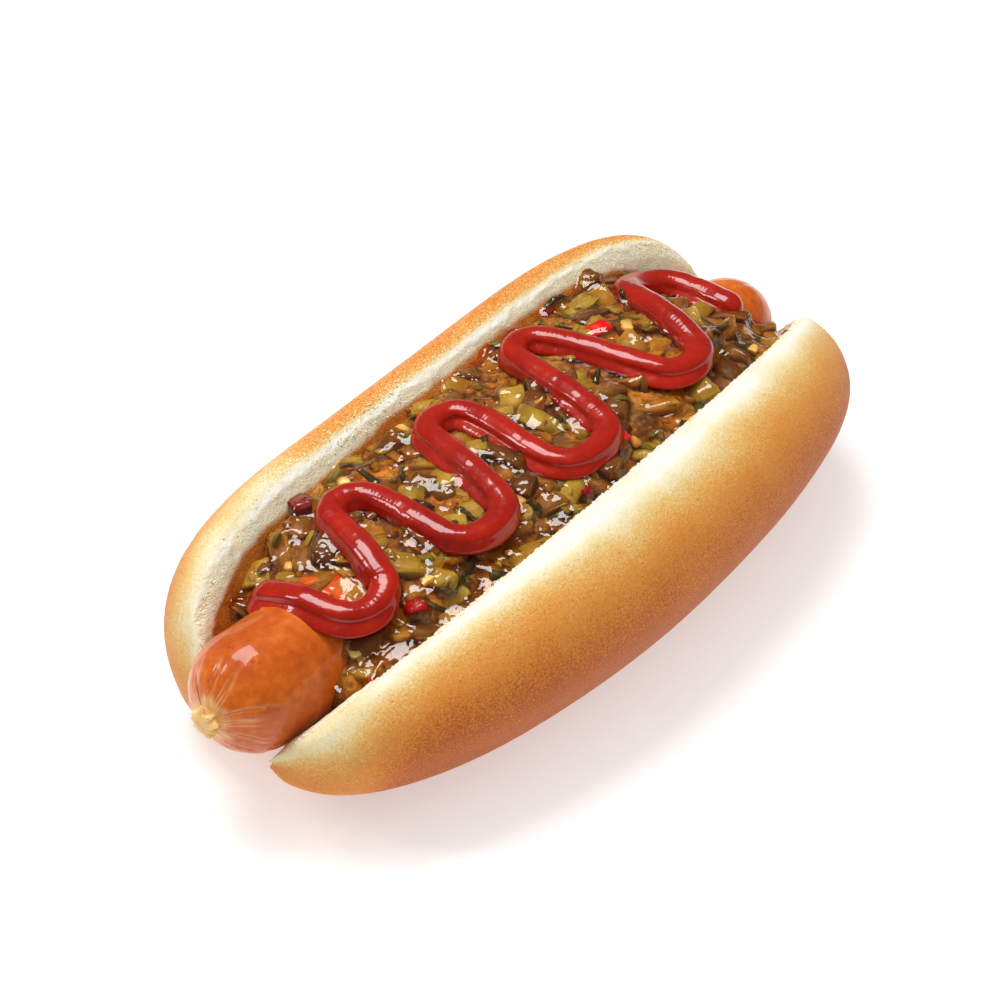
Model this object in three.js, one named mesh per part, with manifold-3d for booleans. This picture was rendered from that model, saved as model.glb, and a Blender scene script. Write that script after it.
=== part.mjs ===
// A hot dog: a soft split bun, a smoked sausage lying in it, chopped pickle relish over the sausage and
// a zigzag of ketchup on top. Millimetres, +Z up. X runs along the bun, whose split faces up, and the
// fuller half of the bun is on the -Y side. The origin is the middle of the underside of the whole.
import * as THREE from "three";
import { mergeVertices } from "three/addons/utils/BufferGeometryUtils.js";
import Module from "manifold-3d";

const wasm = await Module();
wasm.setup();

// What touches keeps this gap.
const GAP = 0.3;

// The bun. A profile runs from the middle of the underside, round the crust to the lip of the split, and
// down the cut face to the floor of the split: [distance from the middle plane, height].
const BUN_LENGTH = 155.5;
const BUN_CENTRE_X = 3.4;
const BUN_STATIONS = 36;
const BUN_PROFILE_POINTS = 20;
const BUN_END_SHARE = 0.975;
const FULL_HALF = [
  [0, 0], [15, 0], [32.8, 5.4], [39.8, 13.9], [43.6, 24.9], [39.8, 34.4],
  [31.8, 39.5], [25.7, 38.8], [21.9, 34.3], [17.7, 24.2], [11.7, 15], [0, 11],
];
const SLIM_HALF = [
  [0, 0], [15.7, 0], [30.3, 4.2], [35.7, 12.6], [37.3, 22.1], [35.3, 30.6],
  [31.2, 36.7], [26.2, 40.3], [21, 36.3], [17.5, 25.9], [12, 15.8], [0, 11],
];
// The profile point that is the lip.
const LIP_POINT = 8;
// How each half closes towards the ends: a low power tapers early, a high one stays full for longer.
const FULL_TAPER = { near: { power: 1.74, root: 3.1 }, far: { power: 2.26, root: 3 } };
const SLIM_TAPER = { near: { power: 5.1, root: 2.85 }, far: { power: 4.2, root: 3.4 } };
const BASE_TAPER = { near: { power: 6, root: 2.8 }, far: { power: 6, root: 2.8 } };
// The ends close on a low U: its floor, set back between the halves, and its two tips. The floor's
// part of the section reaches out to WEB_START_Y and blends into the halves up to WEB_END_Y.
const WEB_START_Y = 4;
const WEB_END_Y = 21;
const END_FLOOR_Z = 9.6;
const END_NOTCH = 8;
// The fuller half reaches a little further at the near end, and both halves stop short at the far end.
const FULL_NEAR_REACH = 3.2;
const NEAR_REACH_POWER = 12;
const FAR_SHORTENING = 1.5;
const FAR_SHORTENING_POWER = 4;
const END_TIP_Z = 14.7;
const FULL_TIP_Y = 4.3;
const SLIM_TIP_Y = 6.3;
const UNDERSIDE_SNAP = 0.3;

// The sausage, slightly bent and a little thinner towards the far end, its near end raised.
const SAUSAGE_NEAR_RADIUS = 11.2;
const SAUSAGE_FAR_RADIUS = 9.8;
const SAUSAGE_START_X = -85.9;
const SAUSAGE_END_X = 84.4;
const SAUSAGE_AXIS = [[SAUSAGE_START_X, 2.7, 25.5], [0, -0.2, 21.3], [SAUSAGE_END_X, 1.3, 20]];
const SAUSAGE_SIDES = 27;
const SAUSAGE_BODY_RINGS = 16;
const SAUSAGE_DOME_RINGS = 7;
const DOME_LENGTH = 10.8;
const DOME_FIRST_SHARE = 0.26;
const PLEATS = 9;
const PLEAT_DEPTH = 0.07;
const PLEAT_START = 2;
const PLEAT_REACH = 11;
// The gathered casing on each tip: [distance from the tip, radius].
const KNOT = [[0, 1.2], [0.5, 2.4], [1.3, 2.7], [2.1, 2.2]];
const KNOT_LENGTH = 2.1;

// The relish heap.
const HEAP_START_X = -65;
const HEAP_END_X = 69;
const HEAP_TOP_Z = 36.6;
const HEAP_FLOOR_Z = 22;
const HEAP_HALF_WIDTH = 25;
const HEAP_CROWN = 0.0045;
const HEAP_END_DROP = 8.5;
const HEAP_END_SLOPE = 24;
const HEAP_END_LEAN = 3;
const HEAP_BELOW_LIP = 1.5;
const HEAP_RISE = 0.45;
const HEAP_STATIONS = 28;
const HEAP_ACROSS = 10;
const DICE_TRIES = 900;
const DICE_END_MARGIN = 5;
const DICE_HALF_SPREAD = 20.3;
const DICE_SPACING = 3.1;
const DICE_LENGTH = [3, 6.4];
const DICE_WIDTH = [2, 3.6];
const DICE_DEPTH = [1.3, 2.4];
const DICE_TILT = 0.55;
// The top of a diced piece is this share of its foot, and it rises by these shares of its depth.
const DICE_TOP_SHARE = [0.62, 0.92];
const DICE_LIFT = [0.1, 0.4];
const DICE_SEED = 11;

// The ketchup: where the line starts, each turn of the zigzag as [x, y, half width of the turn] and
// where the line ends, seen from above.
const KETCHUP_START = [-59.4, 13.2];
const KETCHUP_END = [65.5, -6.7];
const KETCHUP_TURNS = [
  [-51.8, -8.2, 6.2],
  [-36.7, 12.7, 5],
  [-24.7, -13.2, 7.3],
  [-6.9, 14.3, 5.2],
  [4.3, -14.9, 7.9],
  [22.1, 16.6, 4.8],
  [37.4, -13.5, 6.6],
  [57.8, 13.7, 7.8],
];
const KETCHUP_TURN_DEPTH = 4.9;
const KETCHUP_TURN_POINTS = 4;
const KETCHUP_HALF_WIDTH = 2.9;
const KETCHUP_HALF_HEIGHT = 2.5;
const KETCHUP_LIFT = 1.5;
// How far the foot of the ketchup has slumped outward, and towards which side.
const KETCHUP_SLUMP = 1.1;
const SLUMP_TOWARDS = [-0.86, -0.5];
const KETCHUP_STEPS = 108;
const KETCHUP_END_STEPS = 3;
const KETCHUP_TIP_STEP = 0.35;
const KETCHUP_SIDES = 8;
const KETCHUP_SETTLE = 3;

// A repeatable random number from 0 to 1.
function makeRandom(seed) {
  let state = seed;
  return () => {
    state = (Math.imul(state, 1664525) + 1013904223) >>> 0;
    return state / 4294967296;
  };
}

function between(range, share) {
  return range[0] + (range[1] - range[0]) * share;
}

// A closed surface through rings of equal count, with a flat triangulated cap on each end.
function loft(rings) {
  const count = rings[0].length;
  const position = rings.flat().flatMap((p) => [p.x, p.y, p.z]);
  const index = [];
  for (let i = 0; i + 1 < rings.length; i++) {
    for (let k = 0; k < count; k++) {
      const a = i * count + k;
      const b = i * count + ((k + 1) % count);
      index.push(a, b, b + count, a, b + count, a + count);
    }
  }
  const cap = (ring, first, reversed) => {
    const middle = ring.reduce((sum, p) => sum.add(p), new THREE.Vector3()).divideScalar(count);
    const normal = new THREE.Vector3();
    for (let k = 0; k < count; k++) {
      const a = ring[k].clone().sub(middle);
      normal.add(a.cross(ring[(k + 1) % count].clone().sub(middle)));
    }
    const turn = new THREE.Quaternion().setFromUnitVectors(normal.normalize(), new THREE.Vector3(0, 0, 1));
    const flat = ring.map((p) => p.clone().sub(middle).applyQuaternion(turn));
    const faces = THREE.ShapeUtils.triangulateShape(flat.map((p) => new THREE.Vector2(p.x, p.y)), []);
    for (const [a, b, c] of faces) {
      if (reversed) index.push(first + a, first + c, first + b);
      else index.push(first + a, first + b, first + c);
    }
  };
  cap(rings[0], 0, true);
  cap(rings[rings.length - 1], (rings.length - 1) * count, false);
  const geometry = new THREE.BufferGeometry();
  geometry.setAttribute("position", new THREE.Float32BufferAttribute(position, 3));
  geometry.setIndex(index);
  return geometry;
}

function toSolid(geometry) {
  const bare = geometry.clone();
  bare.deleteAttribute("normal");
  bare.deleteAttribute("uv");
  const merged = mergeVertices(bare, 1e-4);
  return new wasm.Manifold(new wasm.Mesh({
    numProp: 3,
    vertProperties: new Float32Array(merged.attributes.position.array),
    triVerts: new Uint32Array(merged.index.array),
  }));
}

function toGeometry(solid) {
  const mesh = solid.getMesh();
  const geometry = new THREE.BufferGeometry();
  geometry.setAttribute("position", new THREE.BufferAttribute(new Float32Array(mesh.vertProperties), 3));
  geometry.setIndex(new THREE.BufferAttribute(new Uint32Array(mesh.triVerts), 1));
  geometry.computeVertexNormals();
  return geometry;
}

// Keeps the largest of a solid's separate bodies, so that no loose scrap stays.
function largest(solid) {
  return solid.decompose().reduce((best, body) => (body.volume() > best.volume() ? body : best));
}

// One half of the bun's middle section, as points from the underside to the floor of the split.
function halfSection(profile, grow) {
  const curve = new THREE.SplineCurve(profile.map(([y, z]) => new THREE.Vector2(y, z)));
  const points = curve.getSpacedPoints(BUN_PROFILE_POINTS);
  return points.map((p, k) => {
    const before = points[Math.max(k - 1, 0)];
    const after = points[Math.min(k + 1, points.length - 1)];
    const along = after.clone().sub(before).normalize();
    return p.clone().add(new THREE.Vector2(along.y, -along.x).multiplyScalar(grow));
  });
}

function taper(s, shape) {
  const { power, root } = s < 0 ? shape.near : shape.far;
  return Math.pow(1 - Math.pow(Math.abs(s), power), 1 / root);
}

function tipY(side) {
  return side > 0 ? SLIM_TIP_Y : FULL_TIP_Y;
}

// How far a half's end lies beyond the plain bun length, towards -X.
function endReach(s, side) {
  if (s > 0) return FAR_SHORTENING * Math.pow(s, FAR_SHORTENING_POWER);
  return side < 0 ? FULL_NEAR_REACH * Math.pow(-s, NEAR_REACH_POWER) : 0;
}

// A section point drawn in towards the U on which the bun's ends close. side is -1 or 1.
function bunPoint(s, point, side, sideTaper) {
  const out = THREE.MathUtils.smoothstep(point.x, WEB_START_Y, WEB_END_Y);
  const size = THREE.MathUtils.lerp(taper(s, BASE_TAPER), taper(s, sideTaper), out);
  const pivotY = tipY(side) * out;
  const pivotZ = THREE.MathUtils.lerp(END_FLOOR_Z, END_TIP_Z, out);
  const z = pivotZ + (point.y - pivotZ) * size;
  return new THREE.Vector3(
    BUN_CENTRE_X + s * (BUN_LENGTH / 2 - END_NOTCH * (1 - out) * s * s) - out * endReach(s, side),
    side * (pivotY + (point.x - pivotY) * size),
    z < UNDERSIDE_SNAP ? 0 : z,
  );
}

function bunGeometry(grow) {
  const full = halfSection(FULL_HALF, grow);
  const slim = halfSection(SLIM_HALF, grow);
  const rings = [];
  for (let i = 0; i <= BUN_STATIONS; i++) {
    const s = Math.sin((Math.PI / 2) * BUN_END_SHARE * ((2 * i) / BUN_STATIONS - 1));
    const onSlim = slim.map((p) => bunPoint(s, p, 1, SLIM_TAPER));
    const onFull = full.map((p) => bunPoint(s, p, -1, FULL_TAPER)).reverse();
    rings.push([...onSlim, ...onFull.slice(1, -1)]);
  }
  return loft(rings);
}

const sausageAxis = new THREE.CatmullRomCurve3(SAUSAGE_AXIS.map((p) => new THREE.Vector3(...p)));

function sausageRadius(share) {
  return THREE.MathUtils.lerp(SAUSAGE_NEAR_RADIUS, SAUSAGE_FAR_RADIUS, share);
}

// [distance from the tip, radius] from a tip to the end of its dome, for a body of that radius.
function domeProfile(radius) {
  const dome = [];
  for (let i = 0; i < SAUSAGE_DOME_RINGS; i++) {
    const share = THREE.MathUtils.lerp(DOME_FIRST_SHARE, 1, i / (SAUSAGE_DOME_RINGS - 1));
    const angle = (Math.PI / 2) * share;
    dome.push([KNOT_LENGTH + DOME_LENGTH * (1 - Math.cos(angle)), radius * Math.sin(angle)]);
  }
  return [...KNOT, ...dome];
}

function sausageGeometry(grow) {
  const length = sausageAxis.getLength();
  const domeEnd = KNOT_LENGTH + DOME_LENGTH;
  const stations = [...domeProfile(SAUSAGE_NEAR_RADIUS)];
  for (let i = 1; i < SAUSAGE_BODY_RINGS; i++) {
    const share = i / SAUSAGE_BODY_RINGS;
    stations.push([domeEnd + (length - 2 * domeEnd) * share, sausageRadius(share)]);
  }
  stations.push(...domeProfile(SAUSAGE_FAR_RADIUS).map(([d, r]) => [length - d, r]).reverse());
  const rings = stations.map(([along, radius]) => {
    const share = THREE.MathUtils.clamp(along / length, 0, 1);
    const centre = sausageAxis.getPointAt(share);
    const forward = sausageAxis.getTangentAt(share);
    const sideways = new THREE.Vector3(0, 0, 1).cross(forward).normalize();
    const up = forward.clone().cross(sideways);
    const fromTip = Math.min(along, length - along);
    const pleated = 1 - THREE.MathUtils.smoothstep(fromTip, PLEAT_START, PLEAT_REACH);
    const ring = [];
    for (let k = 0; k < SAUSAGE_SIDES; k++) {
      const angle = (2 * Math.PI * k) / SAUSAGE_SIDES;
      const pleat = 1 - PLEAT_DEPTH * pleated * (0.5 + 0.5 * Math.cos(PLEATS * angle));
      const r = radius * pleat + grow;
      ring.push(centre.clone()
        .addScaledVector(sideways, r * Math.cos(angle))
        .addScaledVector(up, r * Math.sin(angle)));
    }
    return ring;
  });
  rings[0].forEach((p) => { p.x -= grow; });
  rings[rings.length - 1].forEach((p) => { p.x += grow; });
  return loft(rings);
}

// The height of the sausage's skin above a point, or 0 beside it.
function sausageTop(x, y) {
  const share = THREE.MathUtils.clamp((x - SAUSAGE_START_X) / (SAUSAGE_END_X - SAUSAGE_START_X), 0, 1);
  const centre = sausageAxis.getPointAt(share);
  const radius = sausageRadius(share);
  const across = (y - centre.y) / radius;
  return Math.abs(across) < 1 ? centre.z + radius * Math.sqrt(1 - across * across) : 0;
}

// The torn lip of the split at x: distance from the middle plane, and height.
function lip(x, side) {
  const s = THREE.MathUtils.clamp(((x - BUN_CENTRE_X) * 2) / BUN_LENGTH, -0.999, 0.999);
  const [y, z] = side > 0 ? SLIM_HALF[LIP_POINT] : FULL_HALF[LIP_POINT];
  const size = taper(s, side > 0 ? SLIM_TAPER : FULL_TAPER);
  return [tipY(side) + (y - tipY(side)) * size, END_TIP_Z + (z - END_TIP_Z) * size];
}

// The top of the bare relish heap above a point. It slopes down to the sausage at both ends, and
// beside the bun it stays below the lip.
function heapTop(x, y) {
  const nearEnd = 1 - THREE.MathUtils.smoothstep(x, HEAP_START_X, HEAP_START_X + HEAP_END_SLOPE);
  const farEnd = THREE.MathUtils.smoothstep(x, HEAP_END_X - HEAP_END_SLOPE, HEAP_END_X);
  const crowned = HEAP_TOP_Z - HEAP_CROWN * y * y - HEAP_END_DROP * (nearEnd + farEnd);
  const besideLip = [-1, 1].map((side) => {
    const [lipY, lipZ] = lip(x, side);
    return lipZ - HEAP_BELOW_LIP + HEAP_RISE * (lipY - side * y);
  });
  return Math.min(crowned, ...besideLip);
}

function heapGeometry(grow) {
  const rings = [];
  for (let i = 0; i <= HEAP_STATIONS; i++) {
    const share = i / HEAP_STATIONS;
    const foot = THREE.MathUtils.lerp(HEAP_START_X, HEAP_END_X, share);
    const x = THREE.MathUtils.lerp(HEAP_START_X + HEAP_END_LEAN, HEAP_END_X - HEAP_END_LEAN, share);
    const ring = [];
    for (let k = 0; k <= HEAP_ACROSS; k++) {
      const y = HEAP_HALF_WIDTH * (1 - (2 * k) / HEAP_ACROSS);
      ring.push(new THREE.Vector3(x, y, heapTop(x, y) + grow));
    }
    ring.push(new THREE.Vector3(foot, -HEAP_HALF_WIDTH, HEAP_FLOOR_Z));
    ring.push(new THREE.Vector3(foot, HEAP_HALF_WIDTH, HEAP_FLOOR_Z));
    rings.push(ring);
  }
  return loft(rings);
}

// The middle line of the ketchup, lying on the relish and the bare ends of the sausage.
function ketchupLine() {
  const flat = [KETCHUP_START];
  KETCHUP_TURNS.forEach(([x, y, halfWidth]) => {
    const side = y - Math.sign(y) * KETCHUP_TURN_DEPTH;
    for (let i = 0; i <= KETCHUP_TURN_POINTS; i++) {
      const angle = (Math.PI * i) / KETCHUP_TURN_POINTS;
      flat.push([x - halfWidth * Math.cos(angle), side + (y - side) * Math.sin(angle)]);
    }
  });
  flat.push(KETCHUP_END);
  const plan = new THREE.CatmullRomCurve3(flat.map(([x, y]) => new THREE.Vector3(x, y, 0)), false, "centripetal");
  const line = plan.getSpacedPoints(KETCHUP_STEPS);
  const heights = line.map((p) => Math.max(heapTop(p.x, p.y), sausageTop(p.x, p.y)) + KETCHUP_LIFT);
  line.forEach((p, i) => {
    const around = heights.slice(Math.max(i - KETCHUP_SETTLE, 0), i + KETCHUP_SETTLE + 1);
    p.z = around.reduce((sum, z) => sum + z, 0) / around.length;
  });
  return line;
}

function ketchupGeometry(grow) {
  const line = ketchupLine();
  const rings = line.map((centre, i) => {
    const before = line[Math.max(i - 1, 0)];
    const after = line[Math.min(i + 1, line.length - 1)];
    const forward = after.clone().sub(before).setZ(0).normalize();
    const sideways = new THREE.Vector3(-forward.y, forward.x, 0);
    const fromEnd = Math.min(i, line.length - 1 - i);
    const rounding = 1 - Math.min((fromEnd + KETCHUP_TIP_STEP) / KETCHUP_END_STEPS, 1);
    const size = Math.sqrt(1 - rounding * rounding);
    const ring = [];
    for (let k = 0; k < KETCHUP_SIDES; k++) {
      const angle = (2 * Math.PI * (k + 0.5)) / KETCHUP_SIDES;
      const outward = Math.sign(Math.cos(angle));
      const facing = outward * (sideways.x * SLUMP_TOWARDS[0] + sideways.y * SLUMP_TOWARDS[1]);
      const slump = Math.sin(angle) < 0 ? outward * KETCHUP_SLUMP * size * Math.max(facing, 0) : 0;
      ring.push(centre.clone()
        .addScaledVector(sideways, (KETCHUP_HALF_WIDTH * size + grow) * Math.cos(angle) + slump)
        .setZ(centre.z + (KETCHUP_HALF_HEIGHT * size + grow) * Math.sin(angle)));
    }
    return ring;
  });
  return loft(rings);
}

// One diced piece: a box with its top drawn in, lying on the heap.
function dice(random, x, y) {
  const size = [DICE_LENGTH, DICE_WIDTH, DICE_DEPTH].map((range) => between(range, random()));
  const box = new THREE.BoxGeometry(...size);
  const position = box.attributes.position;
  const drawnIn = between(DICE_TOP_SHARE, random());
  for (let i = 0; i < position.count; i++) {
    if (position.getZ(i) > 0) position.setXY(i, position.getX(i) * drawnIn, position.getY(i) * drawnIn);
  }
  const tilt = () => DICE_TILT * (2 * random() - 1);
  const turn = new THREE.Euler(tilt(), tilt(), Math.PI * random());
  const matrix = new THREE.Matrix4().makeRotationFromEuler(turn);
  matrix.setPosition(x, y, heapTop(x, y) + size[2] * between(DICE_LIFT, random()));
  return toSolid(box.applyMatrix4(matrix));
}

// Diced pieces over the heap, evenly spread, each clear of the bun, the sausage and the ketchup.
function scatterDice(keepClear) {
  const random = makeRandom(DICE_SEED);
  const placed = [];
  const solids = [];
  for (let i = 0; i < DICE_TRIES; i++) {
    const x = THREE.MathUtils.lerp(HEAP_START_X + DICE_END_MARGIN, HEAP_END_X - DICE_END_MARGIN, random());
    const y = THREE.MathUtils.lerp(-DICE_HALF_SPREAD, DICE_HALF_SPREAD, random());
    const piece = dice(random, x, y);
    const crowded = placed.some(([px, py]) => Math.hypot(px - x, py - y) < DICE_SPACING);
    if (crowded || keepClear.some((other) => piece.intersect(other).volume() > 0)) continue;
    placed.push([x, y]);
    solids.push(piece);
  }
  return solids;
}

const sausageSolid = toSolid(sausageGeometry(0));
const sausageClear = toSolid(sausageGeometry(GAP));
const bunSolid = largest(toSolid(bunGeometry(0)).subtract(sausageClear));
const bunClear = toSolid(bunGeometry(GAP));
const heapSolid = toSolid(heapGeometry(0)).subtract(bunClear).subtract(sausageClear);
const ketchupSolid = toSolid(ketchupGeometry(0))
  .subtract(toSolid(heapGeometry(GAP)))
  .subtract(sausageClear)
  .subtract(bunClear);
const ketchupClear = toSolid(ketchupGeometry(GAP));
const diceSolids = scatterDice([bunClear, sausageClear, ketchupClear]);
const relishSolid = wasm.Manifold.union([heapSolid, ...diceSolids]);

const hotDog = new THREE.Group();

function addPiece(name, solid, color, roughness) {
  const material = new THREE.MeshStandardMaterial({ color, roughness, metalness: 0 });
  const mesh = new THREE.Mesh(toGeometry(largest(solid)), material);
  mesh.name = name;
  hotDog.add(mesh);
}

addPiece("bun", bunSolid, 0xd89a4e, 0.6);
addPiece("sausage", sausageSolid, 0xbf6230, 0.3);
addPiece("relish", relishSolid, 0x8a7a28, 0.25);
addPiece("ketchup", ketchupSolid, 0xa81a10, 0.2);

// The origin goes to the middle of the underside.
const box = new THREE.Box3().setFromObject(hotDog);
const middle = box.getCenter(new THREE.Vector3());
hotDog.position.set(-middle.x, -middle.y, -box.min.z);

export default hotDog;
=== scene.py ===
import math

import bmesh
import bpy
import numpy as np
from mathutils import Matrix, Vector
from mathutils.bvhtree import BVHTree


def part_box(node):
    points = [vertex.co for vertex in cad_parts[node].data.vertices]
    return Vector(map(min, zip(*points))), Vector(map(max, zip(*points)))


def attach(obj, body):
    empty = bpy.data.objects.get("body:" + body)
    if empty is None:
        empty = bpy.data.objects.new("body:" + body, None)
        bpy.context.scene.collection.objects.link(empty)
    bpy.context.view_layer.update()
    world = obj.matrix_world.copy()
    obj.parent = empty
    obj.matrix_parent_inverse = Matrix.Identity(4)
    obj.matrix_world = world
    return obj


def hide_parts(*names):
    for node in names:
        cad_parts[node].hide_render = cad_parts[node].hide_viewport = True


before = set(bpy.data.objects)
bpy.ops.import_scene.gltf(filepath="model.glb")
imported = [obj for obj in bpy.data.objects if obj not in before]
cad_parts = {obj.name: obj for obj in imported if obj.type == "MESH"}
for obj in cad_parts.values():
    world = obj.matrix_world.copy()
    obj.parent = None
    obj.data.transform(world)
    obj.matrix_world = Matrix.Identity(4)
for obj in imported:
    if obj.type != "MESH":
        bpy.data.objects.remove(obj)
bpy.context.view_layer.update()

MM = 0.001

# The bun, as in the part: [distance from the middle plane, height] from the underside round the
# crust to the lip and down the cut face.
BUN_LENGTH = 155.5
BUN_CENTRE_X = 3.4
BUN_END_SHARE = 0.994
FULL_HALF = [
    (0, 0), (15, 0), (32.8, 5.4), (39.8, 13.9), (43.6, 24.9), (39.8, 34.4),
    (31.8, 39.5), (25.7, 38.8), (21.9, 34.3), (17.7, 24.2), (11.7, 15), (0, 11),
]
SLIM_HALF = [
    (0, 0), (15.7, 0), (30.3, 4.2), (35.7, 12.6), (37.3, 22.1), (35.3, 30.6),
    (31.2, 36.7), (26.2, 40.3), (21, 36.3), (17.5, 25.9), (12, 15.8), (0, 11),
]
LIP_POINT = 8
FULL_TAPER = ((1.74, 3.1), (2.26, 3))
SLIM_TAPER = ((5.1, 2.85), (4.2, 3.4))
BASE_TAPER = ((6, 2.8), (6, 2.8))
END_FLOOR_Z = 9.6
END_NOTCH = 8
FULL_NEAR_REACH = 3.2
NEAR_REACH_POWER = 12
FAR_SHORTENING = 1.5
FAR_SHORTENING_POWER = 4
END_TIP_Z = 14.7
FULL_TIP_Y = 4.3
SLIM_TIP_Y = 6.3
BUN_STATIONS = 420
CRUST_POINTS = 44
# How far the pale band by the fuller half's lip reaches, and where juice starts on the slim half's
# cut face, at shares of the half length.
PALE_BAND = [
    (-1, 12), (-0.96, 9), (-0.8, 5.8), (-0.5, 7.8), (-0.3, 9.3),
    (0.3, 9.3), (0.55, 7.8), (0.8, 7.5), (1, 7),
]
BAND_TO_BROWN = 27
JUICE_START = [
    (-1, 5), (-0.9, 2), (-0.75, 0), (-0.45, 0), (-0.2, -1.4),
    (0.4, -1.4), (0.6, -0.6), (0.75, 1.4), (0.85, 4.5), (1, 8),
]
SLIM_PALE_BAND = 3.2
# Where the crust ends, and where the loose crumbs stand, in millimetres past the lip.
SLIM_CRUST_END = -3.6
FULL_CRUST_END = -5.0
SLIM_CRUMB_LINE = -3.6
FULL_CRUMB_LINE = -2.6
LIP_POINTS = 50
CUT_POINTS = 20
LIP_ZONE = 5.5
SLIM_CRUMBS = 700
FULL_CRUMBS = 3200

# The sausage.
SAUSAGE_NEAR_RADIUS = 11.2
SAUSAGE_FAR_RADIUS = 9.8
SAUSAGE_START_X = -85.9
SAUSAGE_END_X = 84.4
SAUSAGE_AXIS = [(SAUSAGE_START_X, 2.7, 25.5), (0, -0.2, 21.3), (SAUSAGE_END_X, 1.3, 20)]
KNOT = [(0, 1.2), (0.5, 2.4), (1.3, 2.7), (2.1, 2.2)]
DOME_LENGTH = 10.8
SAUSAGE_SIDES = 180
SAUSAGE_STATIONS = 420
PLEATS = 26

# The relish heap.
HEAP_START_X = -65
HEAP_END_X = 69
HEAP_TOP_Z = 36.6
HEAP_FLOOR_Z = 22
HEAP_REACH_Y = 23
HEAP_CROWN = 0.0045
HEAP_END_DROP = 8.5
HEAP_END_SLOPE = 24
HEAP_BELOW_LIP = 1.5
HEAP_RISE = 0.45
BED_STEP = 0.55
GLAZE_STEP = 0.4
GLAZE_CLOSING = 6
GLAZE_OVER = 0.4
CHOPPED_FORMS = 14
# Pieces that lie at a spot of their own: place along and across the bun, and tone.
PEPPER_SPOTS = [(35, 7, 0.9), (-46, -12.5, 0.3), (-40, 19, 0)]
SEED_SPOTS = [(39.6, 3.2, 0.6)]
PICKLE_SPOTS = [
    (-54.1, -1.2, 0.6), (-51, 4.5, 0.35), (-50, -4.5, 0.55), (-57, 3.2, 0.45), (-54.5, 7.5, 0.8),
]

# The ketchup.
KETCHUP_START = (-59.4, 13.2)
KETCHUP_END = (65.5, -6.7)
KETCHUP_TURNS = [
    (-51.8, -8.2, 6.2), (-36.7, 12.7, 5), (-24.7, -13.2, 7.3), (-6.9, 14.3, 5.2),
    (4.3, -14.9, 7.9), (22.1, 16.6, 4.8), (37.4, -13.5, 6.6), (57.8, 13.7, 7.8),
]
KETCHUP_TURN_DEPTH = 4.9
KETCHUP_TURN_POINTS = 4
KETCHUP_HALF_WIDTH = 2.9
KETCHUP_HALF_HEIGHT = 2.5
KETCHUP_LIFT = 1.5
KETCHUP_STATIONS = 900
KETCHUP_SIDES = 44
SLUMP_TOWARDS = [-0.86, -0.5]

# The photograph's camera, in the part's drawing frame.
CAMERA_AZIMUTH = -52.629
CAMERA_ELEVATION = 39.069
CAMERA_DISTANCE = 525.83
CAMERA_TARGET = (-1.99, 2.59, 20.91)
CAMERA_LENS = 100.07
SENSOR = 36

# The stage, in metres.
FLOOR_HALF = 4.0
LIGHT_AIM = (0, 0, 0.02)


def clamp01(value):
    return np.clip(value, 0, 1)


def smoothstep(value, low, high):
    share = clamp01((value - low) / (high - low))
    return share * share * (3 - 2 * share)


def mix(a, b, share):
    return a + (b - a) * share


def soft_noise(points, size, seed=0):
    """Smooth noise from -1 to 1 at points, with features of about that size."""
    scaled = np.asarray(points, float) / size + seed * 7.13
    cell = np.floor(scaled).astype(np.int64)
    share = scaled - cell
    share = share * share * (3 - 2 * share)
    total = np.zeros(len(scaled))
    for corner in np.ndindex(2, 2, 2):
        at = cell + corner
        mixed = at[:, 0] * 73856093 ^ at[:, 1] * 19349663 ^ at[:, 2] * 83492791 ^ (seed + 1) * 2654435
        mixed = (mixed ^ (mixed >> 13)) * 1274126177 & 0xFFFFFFFF
        value = ((mixed ^ (mixed >> 15)) & 0xFFFF) / 32767.5 - 1
        weight = np.ones(len(scaled))
        for axis in range(3):
            weight = weight * (share[:, axis] if corner[axis] else 1 - share[:, axis])
        total += value * weight
    return total


def rough_noise(points, size, octaves=3, seed=0):
    """Several sizes of soft_noise on top of each other, each half as large and half as strong."""
    total = sum(soft_noise(points, size / 2**i, seed + 31 * i) / 2**i for i in range(octaves))
    return total / (2 - 0.5 ** (octaves - 1))


def curve_through(points, count, power=0.5):
    """count evenly spaced points on a smooth curve through the given ones."""
    points = np.asarray(points, float)
    padded = np.vstack([2 * points[0] - points[1], points, 2 * points[-1] - points[-2]])
    fine = []
    for i in range(1, len(padded) - 2):
        p0, p1, p2, p3 = padded[i - 1 : i + 3]
        d0, d1, d2 = (max(np.linalg.norm(b - a) ** power, 1e-4) for a, b in ((p0, p1), (p1, p2), (p2, p3)))
        t1 = ((p1 - p0) / d0 - (p2 - p0) / (d0 + d1) + (p2 - p1) / d1) * d1
        t2 = ((p2 - p1) / d1 - (p3 - p1) / (d1 + d2) + (p3 - p2) / d2) * d1
        t = np.linspace(0, 1, 60, endpoint=False)[:, None]
        fine.append(p1 + t1 * t + (3 * (p2 - p1) - 2 * t1 - t2) * t**2 + (2 * (p1 - p2) + t1 + t2) * t**3)
    fine = np.vstack(fine + [points[-1:]])
    length = np.concatenate([[0], np.cumsum(np.linalg.norm(np.diff(fine, axis=0), axis=1))])
    where = np.linspace(0, 1, count) if np.isscalar(count) else np.asarray(count)
    return np.stack([np.interp(where * length[-1], length, fine[:, k]) for k in range(points.shape[1])], 1)


def vertex_normals(points, faces):
    """Unit normals of a mesh held as arrays. Faces are rows of three or four indices."""
    a, b, c = points[faces[:, 0]], points[faces[:, 1]], points[faces[:, -1]]
    flat = np.cross(b - a, c - a)
    total = np.zeros_like(points)
    for k in range(faces.shape[1]):
        np.add.at(total, faces[:, k], flat)
    return total / np.maximum(np.linalg.norm(total, axis=1, keepdims=True), 1e-12)


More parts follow.
